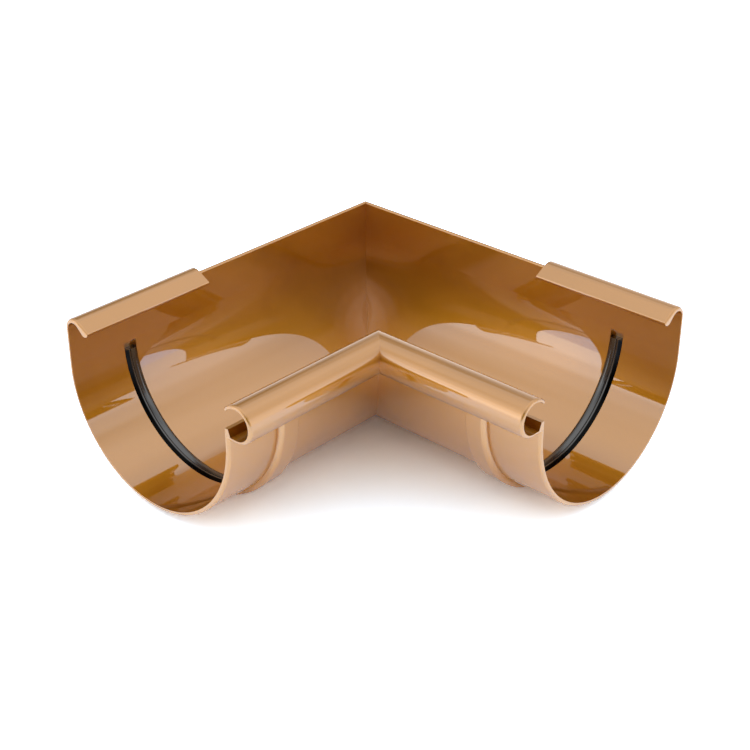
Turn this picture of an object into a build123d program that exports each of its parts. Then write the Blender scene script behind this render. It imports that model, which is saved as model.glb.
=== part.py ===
"""Internal 90 degree angle for a half-round rainwater gutter, with a sealed socket on each arm.

Millimetres. Z is up. One arm runs along -X, the other along -Y, and the plain back walls meet
at the +X +Y corner. The origin lies on the floor under the middle of the whole outline.
"""
import os
from math import cos, hypot, radians, sin, tan

from build123d import *

# Run of the gutter
ARM_LENGTH = 179.6  # from the crossing of the two gutter axes to each socket mouth
BORE_R = 63.6  # inside radius of the half round
WALL = 2.4
BACK_HEIGHT = 24.2  # rounded top of the back wall above the centre of the half round
END_ROUND = 1.6  # rounding of the outer edges at each socket mouth

# Rolled bead along the front, open towards the inside of the gutter
BEAD_R = 9.2  # inside radius of the roll
BEAD_WALL = 1.9
BEAD_OFF = 8.3  # from the inside of the front wall out to the roll centre
BEAD_UP = 16.0  # roll centre, above the centre of the half round
BEAD_OPEN = 40.0  # the inside of the roll ends at this angle above the horizontal
BEAD_CUT = 2.0  # the outside of the roll ends this many degrees sooner
FRONT_HEIGHT = 11.2  # top of the front wall inside the roll
FRONT_FLAT = 2.2  # width of that top
FRONT_SPREAD = 1.5  # the back of the front wall leans out this far past the outside of the half round

# Hook along the back wall that the gutter length is pushed under
HOOK_LENGTH = 90.1
HOOK_R = 5.4  # inside radius of the bend
HOOK_DROP = 0.7  # centre of the bend, below the top of the back wall
TONGUE_SLOPE = 29.0
TONGUE_TAPER = 4.0  # the inside of the bend turns this many degrees further, so the tongue thickens
TONGUE_REACH = 11.4  # from the centre of the bend to the upper edge of the tip
LIP_DEPTH = 2.4  # height of the rounded lip under the tip
LIP_WIDTH = 5.0
LIP_NOSE = 0.2  # the front of the lip stands out this far at half its height
LIP_ROUND = 1.1  # the front of the lip falls back this far
LIP_BULGE = 0.3  # the underside of the lip hangs this far below its front corner

# Channel for the rubber seal, pressed outwards from the wall
CHANNEL_BACK = 34.4  # socket mouth to the first outer face of the channel
CHANNEL_NEAR = 3.1  # wall of the channel towards the mouth, which has the rounded shoulder
GROOVE_WIDTH = 8.7
CHANNEL_FAR = 1.5  # wall of the channel towards the corner
CHANNEL_RISE = 3.3
CHANNEL_FOOT = 0.4  # left of the rise below the rounded shoulder
CREST_ROUND = 0.6  # rounding of the crown towards the corner
CHANNEL_CAP = 2.4  # the channel closes this far above the end of its groove

# Rubber seal in the channel
SEAL_SIDE_GAP = 0.2
SEAL_PROUD = 1.2  # ridge of the seal above the inside of the wall
SEAL_FLANK = 1.8  # width of the slope from the mouth side up to the ridge
SEAL_RIDGE = 1.3  # width of the ridge
SEAL_NOTCH = 0.7  # depth of the notch between the ridge and the broad pad
SEAL_PAD_DROP = 0.2  # top of the pad below the ridge
SEAL_EDGE = 1.2  # width of the slope down at the corner side of the pad
SEAL_SOFT = 0.2  # height of the rounding over the ridge and the pad
SEAL_SHORT = 4.5  # degrees by which each end of the seal stops below the end of the groove

OUTER_R = BORE_R + WALL
CROWN_R = OUTER_R + CHANNEL_RISE
AXIS = (ARM_LENGTH - CROWN_R) / 2  # both gutter axes stand this far from the middle of the outline
CENTRE_H = CROWN_R  # the channel crowns touch the floor
CHANNEL_WIDTH = CHANNEL_NEAR + GROOVE_WIDTH + CHANNEL_FAR
BEAD_OUT = BORE_R + BEAD_OFF
HOOK_UP = BACK_HEIGHT - HOOK_DROP
TOL = 0.05  # for picking edges by their place

ORIGIN = (AXIS, AXIS, CENTRE_H)
MITRE = Plane(origin=ORIGIN, z_dir=(-1, 1, 0))


def across(from_mouth):
    """Plane square to the -X arm, with its own x towards the back wall and its y up."""
    return Plane(origin=(AXIS - ARM_LENGTH + from_mouth, AXIS, CENTRE_H), x_dir=(0, 1, 0), z_dir=(1, 0, 0))


def polar(centre, radius, angle):
    """Point on a circle, the angle counted in degrees from the back towards the top."""
    return (centre[0] + radius * cos(radians(angle)), centre[1] + radius * sin(radians(angle)))


def at_depth(edges, from_mouth):
    """Edges of the -X arm that lie in one plane square to it, with the middle of each in that plane."""
    x = AXIS - ARM_LENGTH + from_mouth
    found = [e for e in edges if e.bounding_box().min.X > x - TOL and e.bounding_box().max.X < x + TOL]
    return [(e, (e @ 0.5).Y - AXIS, (e @ 0.5).Z - CENTRE_H) for e in found]


def crown_edges(edges, from_mouth):
    """Outermost edges of the seal channel at one of its two faces."""
    return [e for e, u, z in at_depth(edges, from_mouth) if hypot(u, min(z, 0)) > CROWN_R - TOL]


def mouth_edges(edges):
    """Outer edges of the mouth: half round, walls, back of the hook and outside of the bead."""
    chosen = []
    for e, u, z in at_depth(edges, 0):
        wall = z < bead_under and hypot(u, min(z, 0)) > OUTER_R - TOL
        back = u > OUTER_R - TOL
        hook = z > tip_z and hypot(u - HOOK_C[0], z - HOOK_C[1]) > HOOK_OUTER_R - TOL
        bead = u < -OUTER_R and hypot(u + BEAD_OUT, z - BEAD_UP) > BEAD_OUTER_R - TOL
        if wall or back or hook or bead:
            chosen.append(e)
    return chosen


BEAD_C = (-BEAD_OUT, BEAD_UP)
BEAD_OUTER_R = BEAD_R + BEAD_WALL
bead_floor = BEAD_UP - BEAD_R
bead_under = BEAD_UP - BEAD_OUTER_R
roll_in = polar(BEAD_C, BEAD_R, BEAD_OPEN)
roll_out = polar(BEAD_C, BEAD_OUTER_R, BEAD_OPEN - BEAD_CUT)

HOOK_C = (BORE_R - HOOK_R, HOOK_UP)
HOOK_OUTER_R = HOOK_R + WALL
hook_foot = HOOK_UP - WALL
bend_end = 90.0 + TONGUE_SLOPE
tongue_start = polar(HOOK_C, HOOK_OUTER_R, bend_end)
under_start = polar(HOOK_C, HOOK_R, bend_end + TONGUE_TAPER)
slope = radians(TONGUE_SLOPE)
tip_u = HOOK_C[0] - TONGUE_REACH
tip_z = tongue_start[1] - (tongue_start[0] - tip_u) * tan(slope)
lip_low = (tip_u + LIP_ROUND, tip_z - LIP_DEPTH)
lip_mid = (tip_u + LIP_WIDTH / 2, tip_z - LIP_DEPTH - LIP_BULGE)
lip_back = (tip_u + LIP_WIDTH, tip_z - LIP_DEPTH + LIP_ROUND)

band_r = BORE_R + WALL / 2
wall_top = BACK_HEIGHT - WALL / 2
band_top = bead_under + BEAD_WALL / 2
groove_floor = CROWN_R - WALL
cut_r = BORE_R - WALL

# Gutter body: half-round wall, bead, hooks and seal channels, moulded in one piece
with BuildPart() as gutter_angle:
    with BuildSketch(across(0)):
        with BuildLine():
            Line((OUTER_R, 0), (OUTER_R, wall_top))
            ThreePointArc((OUTER_R, wall_top), (band_r, BACK_HEIGHT), (BORE_R, wall_top))
            Line((BORE_R, wall_top), (BORE_R, 0))
            ThreePointArc((BORE_R, 0), (0, -BORE_R), (-BORE_R, 0))
            Line((-BORE_R, 0), (-BORE_R, FRONT_HEIGHT))
            Line((-BORE_R, FRONT_HEIGHT), (-BORE_R - FRONT_FLAT, FRONT_HEIGHT))
            Line((-BORE_R - FRONT_FLAT, FRONT_HEIGHT), (-OUTER_R - FRONT_SPREAD, bead_floor))
            Line((-OUTER_R - FRONT_SPREAD, bead_floor), (-BEAD_OUT, bead_floor))
            ThreePointArc((-BEAD_OUT, bead_floor), (-BEAD_OUT - BEAD_R, BEAD_UP), roll_in)
            Line(roll_in, roll_out)
            ThreePointArc(roll_out, (-BEAD_OUT - BEAD_OUTER_R, BEAD_UP), (-BEAD_OUT, bead_under))
            Line((-BEAD_OUT, bead_under), (-OUTER_R, bead_under))
            Line((-OUTER_R, bead_under), (-OUTER_R, 0))
            ThreePointArc((-OUTER_R, 0), (0, -OUTER_R), (OUTER_R, 0))
        make_face()
    extrude(amount=ARM_LENGTH + 2 * OUTER_R)
    split(bisect_by=MITRE, keep=Keep.TOP)

    with BuildSketch(across(0)):
        with BuildLine():
            Line((OUTER_R, hook_foot), (OUTER_R, HOOK_UP))
            ThreePointArc(polar(HOOK_C, HOOK_OUTER_R, 0), polar(HOOK_C, HOOK_OUTER_R, 60), tongue_start)
            Line(tongue_start, (tip_u, tip_z))
            ThreePointArc((tip_u, tip_z), (tip_u - LIP_NOSE, tip_z - LIP_DEPTH / 2), lip_low)
            ThreePointArc(lip_low, lip_mid, lip_back)
            Line(lip_back, under_start)
            ThreePointArc(under_start, polar(HOOK_C, HOOK_R, 60), polar(HOOK_C, HOOK_R, 0))
            Line((BORE_R, HOOK_UP), (BORE_R, hook_foot))
            Line((BORE_R, hook_foot), (OUTER_R, hook_foot))
        make_face()
    extrude(amount=HOOK_LENGTH)

    # Seal channel: a raised band that starts inside the wall, and its groove cut from the bore
    with BuildSketch(across(CHANNEL_BACK)):
        with BuildLine():
            Line((CROWN_R, CHANNEL_CAP), (band_r, CHANNEL_CAP))
            Line((band_r, CHANNEL_CAP), (band_r, 0))
            ThreePointArc((band_r, 0), (0, -band_r), (-band_r, 0))
            Line((-band_r, 0), (-band_r, band_top))
            Line((-band_r, band_top), (-CROWN_R, band_top))
            Line((-CROWN_R, band_top), (-CROWN_R, 0))
            ThreePointArc((-CROWN_R, 0), (0, -CROWN_R), (CROWN_R, 0))
            Line((CROWN_R, 0), (CROWN_R, CHANNEL_CAP))
        make_face()
    extrude(amount=CHANNEL_WIDTH)
    with BuildSketch(across(CHANNEL_BACK + CHANNEL_NEAR)):
        with BuildLine():
            ThreePointArc((groove_floor, 0), (0, -groove_floor), (-groove_floor, 0))
            Line((-groove_floor, 0), (-cut_r, 0))
            ThreePointArc((-cut_r, 0), (0, -cut_r), (cut_r, 0))
            Line((cut_r, 0), (groove_floor, 0))
        make_face()
    extrude(amount=GROOVE_WIDTH, mode=Mode.SUBTRACT)

    # Rounded crowns of the channel and rounded outer edges of the mouth
    fillet(crown_edges(gutter_angle.edges(), CHANNEL_BACK), radius=CHANNEL_RISE - CHANNEL_FOOT)
    fillet(crown_edges(gutter_angle.edges(), CHANNEL_BACK + CHANNEL_WIDTH), radius=CREST_ROUND)
    fillet(mouth_edges(gutter_angle.edges()), radius=END_ROUND)

    mirror(about=MITRE)

seal_near = CHANNEL_BACK + CHANNEL_NEAR + SEAL_SIDE_GAP - ARM_LENGTH
seal_far = CHANNEL_BACK + CHANNEL_NEAR + GROOVE_WIDTH - SEAL_SIDE_GAP - ARM_LENGTH
crest = BORE_R - SEAL_PROUD
pad = crest + SEAL_PAD_DROP
ridge = seal_near + SEAL_FLANK
notch = ridge + SEAL_RIDGE + SEAL_NOTCH
pad_near = notch + SEAL_NOTCH
pad_far = seal_far - SEAL_EDGE


def seal_outline():
    """Draw the outline of the seal: a flat foot, a slope up to a narrow ridge, a notch and a broad pad."""
    Polyline(
        (pad_far, pad + SEAL_SOFT),
        (seal_far, BORE_R),
        (seal_far, groove_floor),
        (seal_near, groove_floor),
        (seal_near, BORE_R),
        (ridge, crest + SEAL_SOFT),
    )
    ridge_end = (ridge + SEAL_RIDGE, crest + SEAL_SOFT)
    ThreePointArc((ridge, crest + SEAL_SOFT), (ridge + SEAL_RIDGE / 2, crest), ridge_end)
    Polyline(ridge_end, (notch, crest + SEAL_NOTCH), (pad_near, pad + SEAL_SOFT))
    ThreePointArc((pad_near, pad + SEAL_SOFT), ((pad_near + pad_far) / 2, pad), (pad_far, pad + SEAL_SOFT))


# Seal of the -X arm, from just below one end of its groove round to the other
drop = radians(SEAL_SHORT)
with BuildPart() as seal_left:
    with BuildSketch(Plane(origin=ORIGIN, x_dir=(1, 0, 0), z_dir=(0, sin(drop), cos(drop)))):
        with BuildLine():
            seal_outline()
        make_face()
    revolve(axis=Axis(ORIGIN, (-1, 0, 0)), revolution_arc=180 - 2 * SEAL_SHORT)

# Seal of the -Y arm
with BuildPart() as seal_right:
    with BuildSketch(Plane(origin=ORIGIN, x_dir=(0, 1, 0), z_dir=(-sin(drop), 0, -cos(drop)))):
        with BuildLine():
            seal_outline()
        make_face()
    revolve(axis=Axis(ORIGIN, (0, 1, 0)), revolution_arc=180 - 2 * SEAL_SHORT)

gutter_angle.part.label = "gutter_angle"
seal_left.part.label = "seal_left"
seal_right.part.label = "seal_right"

os.makedirs("parts", exist_ok=True)
export_step(gutter_angle.part, "parts/gutter_angle.step")
export_step(seal_left.part, "parts/seal_left.step")
export_step(seal_right.part, "parts/seal_right.step")
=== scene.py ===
"""Internal gutter angle of copper-toned plastic with two rubber mouth seals, dressed and lit for its photograph."""

import logging
import math
from dataclasses import dataclass, field
from enum import Enum
from typing import Any, Optional

import bmesh
import bpy
from mathutils import Euler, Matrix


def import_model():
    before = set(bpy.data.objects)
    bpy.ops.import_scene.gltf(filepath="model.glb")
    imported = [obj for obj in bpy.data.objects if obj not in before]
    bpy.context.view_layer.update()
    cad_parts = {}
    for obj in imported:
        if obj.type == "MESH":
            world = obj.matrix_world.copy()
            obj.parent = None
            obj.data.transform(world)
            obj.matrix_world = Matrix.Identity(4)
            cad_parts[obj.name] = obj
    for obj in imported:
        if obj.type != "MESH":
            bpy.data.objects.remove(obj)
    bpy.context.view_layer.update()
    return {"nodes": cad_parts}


LOG = logging.getLogger("gutter_angle")

Colour = tuple[float, float, float]


class Ray(Enum):
    """Kinds of ray that may see a surface or the world in their own way."""

    CAMERA = "Is Camera Ray"
    GLOSSY = "Is Glossy Ray"
    TRANSMITTED = "Is Transmission Ray"


class Nodes:
    """A node tree that is written one node to a line."""

    def __init__(self, tree: bpy.types.NodeTree) -> None:
        """Take over a tree and empty it.

        Args:
            tree: The node tree of a material, world or group.
        """
        self.tree = tree
        tree.nodes.clear()

    def add(self, kind: str, inputs: Optional[dict[Any, Any]] = None, **settings: Any) -> bpy.types.Node:
        """Add one node, set its options and fill or link its inputs.

        Args:
            kind: Blender's type name of the node.
            inputs: Values or output sockets by the input's name or number.
            settings: Options of the node itself.

        Returns:
            The new node.
        """
        node = self.tree.nodes.new(kind)
        for name, value in settings.items():
            setattr(node, name, value)
        for key, value in (inputs or {}).items():
            if isinstance(value, bpy.types.NodeSocket):
                self.tree.links.new(value, node.inputs[key])
            else:
                node.inputs[key].default_value = value
        return node

    def math(self, operation: str, *values: Any) -> bpy.types.NodeSocket:
        """Work one sum out.

        Args:
            operation: Name of the Math node's operation.
            values: The values or sockets that it takes, in order.

        Returns:
            The result's socket.
        """
        return self.add("ShaderNodeMath", dict(enumerate(values)), operation=operation).outputs[0]

    def ramp(self, value: Any, low: float, high: float, to_low: float = 0.0,
             to_high: float = 1.0) -> bpy.types.NodeSocket:
        """Ease a value from one range into another.

        Args:
            value: Value or socket to map.
            low: Value at which the result is to_low.
            high: Value at which the result is to_high.
            to_low: Result at and below low.
            to_high: Result at and above high.

        Returns:
            The result's socket.
        """
        node = self.add("ShaderNodeMapRange", {0: value, 1: low, 2: high, 3: to_low, 4: to_high},
                        interpolation_type="SMOOTHSTEP")
        return node.outputs[0]

    def step(self, value: Any, place: float, blend: float, falling: bool = False) -> bpy.types.NodeSocket:
        """Ease from 0 to 1, or back, around one place.

        Args:
            value: Value or socket to compare.
            place: Middle of the step.
            blend: Half of the step's width.
            falling: Whether the result goes from 1 down to 0.

        Returns:
            The result's socket.
        """
        before, after = (1.0, 0.0) if falling else (0.0, 1.0)
        return self.ramp(value, place - blend, place + blend, before, after)

    def number(self, factor: Any, a: Any, b: Any) -> bpy.types.NodeSocket:
        """Blend two numbers.

        Args:
            factor: Share of the second number, value or socket.
            a: First number or socket.
            b: Second number or socket.

        Returns:
            The blended number's socket.
        """
        return self.add("ShaderNodeMix", {0: factor, 2: a, 3: b}, data_type="FLOAT").outputs[0]

    def mix(self, factor: Any, a: Any, b: Any) -> bpy.types.NodeSocket:
        """Blend two colours.

        Args:
            factor: Share of the second colour, value or socket.
            a: First colour or socket.
            b: Second colour or socket.

        Returns:
            The blended colour's socket.
        """
        node = self.add("ShaderNodeMix", {0: factor, 6: a, 7: b}, data_type="RGBA")
        return node.outputs[2]

    def seen_by(self, kind: Ray) -> bpy.types.NodeSocket:
        """Tell rays of one kind from all others.

        Args:
            kind: The kind of ray.

        Returns:
            A socket that is 1 for such a ray and 0 for others.
        """
        return self.add("ShaderNodeLightPath").outputs[kind.value]


def rgba(colour: Colour) -> tuple[float, float, float, float]:
    """Give a colour its full alpha."""
    return (*colour, 1.0)


@dataclass(frozen=True)
class MouldedSkin:
    """Node group with the fine relief and uneven tone that moulding leaves, set for one finish.

    Scales are in waves per metre. The relief blends a fine grain with a wider wave.
    """

    grain_scale: float
    wave_scale: float
    wave_share: float
    name: str = "moulded_skin"
    cloud_scale: float = 22.0
    cloud_low: float = 0.3
    cloud_high: float = 0.7

    def tree(self) -> bpy.types.NodeTree:
        """Build the group on first use.

        Returns:
            The group with its Tone and Height outputs.
        """
        made = bpy.data.node_groups.get(self.name)
        if made is not None:
            return made
        tree = bpy.data.node_groups.new(self.name, "ShaderNodeTree")
        for label in ("Grain Scale", "Wave Scale", "Wave Share"):
            tree.interface.new_socket(label, in_out="INPUT", socket_type="NodeSocketFloat")
        for label in ("Tone", "Height"):
            tree.interface.new_socket(label, in_out="OUTPUT", socket_type="NodeSocketFloat")
        nodes = Nodes(tree)
        group_in = nodes.add("NodeGroupInput")
        place = nodes.add("ShaderNodeTexCoord").outputs["Object"]
        grain = nodes.add("ShaderNodeTexNoise", {"Vector": place, "Scale": group_in.outputs["Grain Scale"],
                                                 "Detail": 3.0, "Roughness": 0.55})
        wave = nodes.add("ShaderNodeTexNoise", {"Vector": place, "Scale": group_in.outputs["Wave Scale"],
                                                "Detail": 1.5, "Roughness": 0.45})
        height = nodes.number(group_in.outputs["Wave Share"], grain.outputs[0], wave.outputs[0])
        cloud = nodes.add("ShaderNodeTexNoise", {"Vector": place, "Scale": self.cloud_scale, "Detail": 4.0,
                                                 "Roughness": 0.5, "Distortion": 0.6})
        tone = nodes.ramp(cloud.outputs[0], self.cloud_low, self.cloud_high)
        nodes.add("NodeGroupOutput", {"Tone": tone, "Height": height})
        return tree

    def place(self, nodes: Nodes, relief: float) -> tuple[bpy.types.NodeSocket, bpy.types.NodeSocket]:
        """Put the group in a material and turn its height into a normal.

        Args:
            nodes: The material's node tree.
            relief: Depth of the relief in metres.

        Returns:
            The sockets of the tone and of the normal.
        """
        skin = nodes.add("ShaderNodeGroup", node_tree=self.tree())
        skin.inputs["Grain Scale"].default_value = self.grain_scale
        skin.inputs["Wave Scale"].default_value = self.wave_scale
        skin.inputs["Wave Share"].default_value = self.wave_share
        bump = nodes.add("ShaderNodeBump", {"Strength": 1.0, "Distance": relief, "Height": skin.outputs["Height"]})
        return skin.outputs["Tone"], bump.outputs[0]


@dataclass(frozen=True)
class GlossPlastic:
    """Copper-toned plastic: a soft metallic pigment under a clear, strongly reflecting skin."""

    name: str = "gloss_copper_plastic"
    deep: Colour = (0.515, 0.218, 0.013)
    light: Colour = (0.560, 0.242, 0.018)
    pigment_smooth: float = 0.4275
    pigment_rough: float = 0.486
    skin_rough: float = 0.02
    skin_ior: float = 2.2
    relief: float = 0.000010
    skin: MouldedSkin = MouldedSkin(grain_scale=1100.0, wave_scale=120.0, wave_share=0.7)

    def material(self) -> bpy.types.Material:
        """Build the finish.

        Returns:
            The plastic's material.
        """
        made = bpy.data.materials.new(self.name)
        made.use_nodes = True
        nodes = Nodes(made.node_tree)
        tone, normal = self.skin.place(nodes, self.relief)
        colour = nodes.mix(tone, rgba(self.deep), rgba(self.light))
        rough = nodes.ramp(tone, 0.0, 1.0, self.pigment_smooth, self.pigment_rough)
        shader = nodes.add("ShaderNodeBsdfPrincipled", {"Base Color": colour, "Metallic": 1.0, "Roughness": rough,
                                                        "Coat Weight": 1.0, "Coat Roughness": self.skin_rough,
                                                        "Coat IOR": self.skin_ior, "Normal": normal})
        nodes.add("ShaderNodeOutputMaterial", {"Surface": shader.outputs[0]})
        return made


@dataclass(frozen=True)
class SealRubber:
    """Black sealing rubber: a clear sheen on the ridge and the pad, and painted shade on the slopes towards the mouth
    and in the notch, whose reflection is taken away.

    The slopes are told apart by their place along the arm, counted like the frame's X and Y, in metres.
    """

    name: str = "seal_rubber"
    deep: Colour = (0.004, 0.004, 0.004)
    light: Colour = (0.010, 0.010, 0.010)
    sheen_smooth: float = 0.16
    sheen_rough: float = 0.208
    ior: float = 2.0
    relief: float = 0.000012
    slope_end: float = -0.08475
    notch_from: float = -0.08355
    notch_to: float = -0.08290
    blend: float = 0.0002
    skin: MouldedSkin = MouldedSkin(grain_scale=2200.0, wave_scale=260.0, wave_share=0.35)

    def material(self) -> bpy.types.Material:
        """Build the finish.

        Returns:
            The rubber's material.
        """
        made = bpy.data.materials.new(self.name)
        made.use_nodes = True
        nodes = Nodes(made.node_tree)
        tone, normal = self.skin.place(nodes, self.relief)
        colour = nodes.mix(tone, rgba(self.deep), rgba(self.light))
        rough = nodes.ramp(tone, 0.0, 1.0, self.sheen_smooth, self.sheen_rough)
        # Painted shade: Metallic 1 over the near-black base takes the reflection off the mouth-side slopes and the
        # notch, so they look as if they lay in shadow.
        shader = nodes.add("ShaderNodeBsdfPrincipled", {"Base Color": colour, "Metallic": self.matt_and_painted_shade(nodes),
                                                        "Roughness": rough, "IOR": self.ior, "Normal": normal})
        nodes.add("ShaderNodeOutputMaterial", {"Surface": shader.outputs[0]})
        return made

    def matt_and_painted_shade(self, nodes: Nodes) -> bpy.types.NodeSocket:
        """Find where shade is painted, on the mouth-side slopes and in the notch, by taking their reflection away:
        both seals lie far out on one axis, the one with the lower value.

        Args:
            nodes: The material's node tree.

        Returns:
            A socket that is 1 where shade is painted.
        """
        place = nodes.add("ShaderNodeSeparateXYZ", {0: nodes.add("ShaderNodeTexCoord").outputs["Object"]})
        along = nodes.math("MINIMUM", place.outputs[0], place.outputs[1])
        slope = nodes.step(along, self.slope_end, self.blend, falling=True)
        notch = nodes.math("MULTIPLY", nodes.step(along, self.notch_from, self.blend),
                           nodes.step(along, self.notch_to, self.blend, falling=True))
        return nodes.math("ADD", slope, notch)


@dataclass
class Trough:
    """The moulded gutter angle itself: two trough arms that meet at a mitre."""

    node: str = "gutter_angle"
    finish: GlossPlastic = field(default_factory=GlossPlastic)

    def dress(self, nodes: dict[str, bpy.types.Object]) -> list[bpy.types.Object]:
        """Put the plastic on the moulding.

        Args:
            nodes: The frame's objects by node name.

        Returns:
            The dressed objects.
        """
        moulding = nodes[self.node]
        plastic = self.finish.material()
        for holder in moulding.material_slots:
            holder.material = plastic
        return [moulding]


@dataclass
class MouthSeals:
    """The rubber seals that lie in the channels at the two mouths."""

    names: tuple[str, str] = ("seal_left", "seal_right")
    finish: SealRubber = field(default_factory=SealRubber)

    def dress(self, nodes: dict[str, bpy.types.Object]) -> list[bpy.types.Object]:
        """Put the rubber on both seals.

        Args:
            nodes: The frame's objects by node name.

        Returns:
            The dressed objects.
        """
        rubber = self.finish.material()
        seals = [nodes[name] for name in self.names]
        for seal in seals:
            for holder in seal.material_slots:
                holder.material = rubber
        return seals


@dataclass(frozen=True)
class LightRow:
    """One band of the soft light round the studio.

    It reaches up to top degrees above the horizon, from the band below. Its equal sectors are counted from behind the
    camera round by its right, and a strength of 1 is white.
    """

    top: float
    strengths: tuple[float, ...]


@dataclass
class Studio:
    """Camera, pale floor and the soft light all round, in metres and degrees.

    The floor has a colour of its own for camera rays and for reflections, which see it as the white background.
    """

    camera_at: tuple[float, float, float] = (-0.57159, -0.52237, 0.48908)
    camera_yaw: float = 42.506
    camera_drop: float = 29.149
    lens: float = 74.275
    sensor: float = 36.0
    nearest: float = 0.01
    floor_half: float = 4.0
    floor_colour: Colour = (0.93, 0.93, 0.93)
    floor_seen: Colour = (1.94, 2.38, 2.82)
    floor_mirrored: Colour = (1.43, 1.63, 1.95)
    sector_blend: float = 4.0
    row_blend: float = 3.0
    rows: tuple[LightRow, ...] = (
        LightRow(12.0, (0.64, 0.82, 1.62, 0.92, 1.00, 1.32, 1.18, 1.07, 1.33, 2.28, 0.99, 0.41)),
        LightRow(24.0, (0.22, 0.97, 1.49, 0.97, 0.84, 0.92, 0.61, 0.73, 1.06, 1.83, 0.97, 0.04)),
        LightRow(36.0, (0.33, 1.11, 1.21, 0.97, 0.76, 0.65, 0.17, 0.43, 0.81, 1.31, 1.10, 0.12)),
        LightRow(48.0, (0.58, 0.66, 0.88, 1.06, 0.87, 0.67, 0.46, 0.60, 0.89, 1.14, 0.76, 0.68)),
        LightRow(60.0, (1.06, 0.90, 1.18, 1.09, 1.03, 1.12, 1.09, 1.16)),
        LightRow(74.0, (1.26, 1.15, 1.15, 1.26)),
        LightRow(90.0, (1.20,)),
    )

    def camera(self) -> bpy.types.Object:
        """Stand the camera where the photograph was taken.

        Returns:
            The camera.
        """
        lens = bpy.data.cameras.new("camera")
        lens.lens = self.lens
        lens.sensor_width = self.sensor
        lens.sensor_fit = "HORIZONTAL"
        lens.clip_start = self.nearest
        eye = bpy.data.objects.new("camera", lens)
        eye.location = self.camera_at
        eye.rotation_euler = Euler((math.radians(90 - self.camera_drop), 0.0, math.radians(self.camera_yaw - 90)))
        bpy.context.collection.objects.link(eye)
        bpy.context.scene.camera = eye
        return eye

    def floor(self) -> bpy.types.Object:
        """Lay the pale floor, which keeps the object's shadow.

        Returns:
            The floor.
        """
        sheet = bmesh.new()
        bmesh.ops.create_grid(sheet, x_segments=1, y_segments=1, size=self.floor_half)
        mesh = bpy.data.meshes.new("floor")
        sheet.to_mesh(mesh)
        sheet.free()
        floor = bpy.data.objects.new("floor", mesh)
        bpy.context.collection.objects.link(floor)
        made = bpy.data.materials.new("pale_floor")
        made.use_nodes = True
        nodes = Nodes(made.node_tree)
        mirrored = nodes.math("MAXIMUM", nodes.seen_by(Ray.GLOSSY), nodes.seen_by(Ray.TRANSMITTED))
        colour = nodes.mix(mirrored, rgba(self.floor_colour), rgba(self.floor_mirrored))
        colour = nodes.mix(nodes.seen_by(Ray.CAMERA), colour, rgba(self.floor_seen))
        matt_and_painted_shade = nodes.add("ShaderNodeBsdfDiffuse", {"Color": colour})
        nodes.add("ShaderNodeOutputMaterial", {"Surface": matt_and_painted_shade.outputs[0]})
        mesh.materials.append(made)
        return floor

    def row(self, nodes: Nodes, turn: bpy.types.NodeSocket, strengths: tuple[float, ...]) -> Any:
        """Spread one band of light round the studio.

        Args:
            nodes: The world's node tree.
            turn: Share of a full turn, from behind the camera round by its right.
            strengths: Strength of each of the band's equal sectors.

        Returns:
            The band's strength, as a number or a socket.
        """
        if len(strengths) == 1:
            return strengths[0]
        peak = max(strengths)
        blend = self.sector_blend / 360.0
        seam = (strengths[0] + strengths[-1]) / 2
        band = nodes.add("ShaderNodeValToRGB", {0: turn})
        steps = band.color_ramp.elements
        for end in steps:
            end.color = rgba((seam / peak,) * 3)
        for number, strength in enumerate(strengths):
            for place in (number / len(strengths) + blend, (number + 1) / len(strengths) - blend):
                steps.new(place).color = rgba((strength / peak,) * 3)
        return nodes.math("MULTIPLY", band.outputs[0], peak)

    def world(self) -> bpy.types.World:
        """Light the studio from all round.

        Returns:
            The world.
        """
        world = bpy.data.worlds.new("studio")
        world.use_nodes = True
        bpy.context.scene.world = world
        nodes = Nodes(world.node_tree)
        way = nodes.add("ShaderNodeTexCoord").outputs["Generated"]
        yaw = math.radians(self.camera_yaw)
        ahead = nodes.add("ShaderNodeVectorMath", {0: way, 1: (math.cos(yaw), math.sin(yaw), 0.0)},
                          operation="DOT_PRODUCT").outputs["Value"]
        aside = nodes.add("ShaderNodeVectorMath", {0: way, 1: (-math.sin(yaw), math.cos(yaw), 0.0)},
                          operation="DOT_PRODUCT").outputs["Value"]
        turn = nodes.math("MULTIPLY_ADD", nodes.math("ARCTAN2", aside, ahead), 0.5 / math.pi, 0.5)
        rise = nodes.math("ARCSINE", nodes.add("ShaderNodeSeparateXYZ", {0: way}).outputs[2])
        light = self.row(nodes, turn, self.rows[0].strengths)
        for lower, upper in zip(self.rows, self.rows[1:]):
            over = nodes.step(rise, math.radians(lower.top), math.radians(self.row_blend))
            light = nodes.number(over, light, self.row(nodes, turn, upper.strengths))
        strength = nodes.number(nodes.seen_by(Ray.CAMERA), light, 1.0)
        glow = nodes.add("ShaderNodeBackground", {"Color": (1, 1, 1, 1), "Strength": strength})
        nodes.add("ShaderNodeOutputWorld", {"Surface": glow.outputs[0]})
        return world


def main() -> None:
    """Load the frame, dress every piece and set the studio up."""
    logging.basicConfig(level=logging.INFO, format="%(name)s: %(message)s")
    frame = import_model()
    bpy.context.scene.view_settings.view_transform = "Standard"

    studio = Studio()
    studio.camera()
    studio.floor()
    studio.world()

    for part in (Trough(), MouthSeals()):
        for piece in part.dress(frame["nodes"]):
            LOG.info("%s dressed in %s", piece.name, piece.material_slots[0].material.name)


if __name__ == "__main__":
    main()
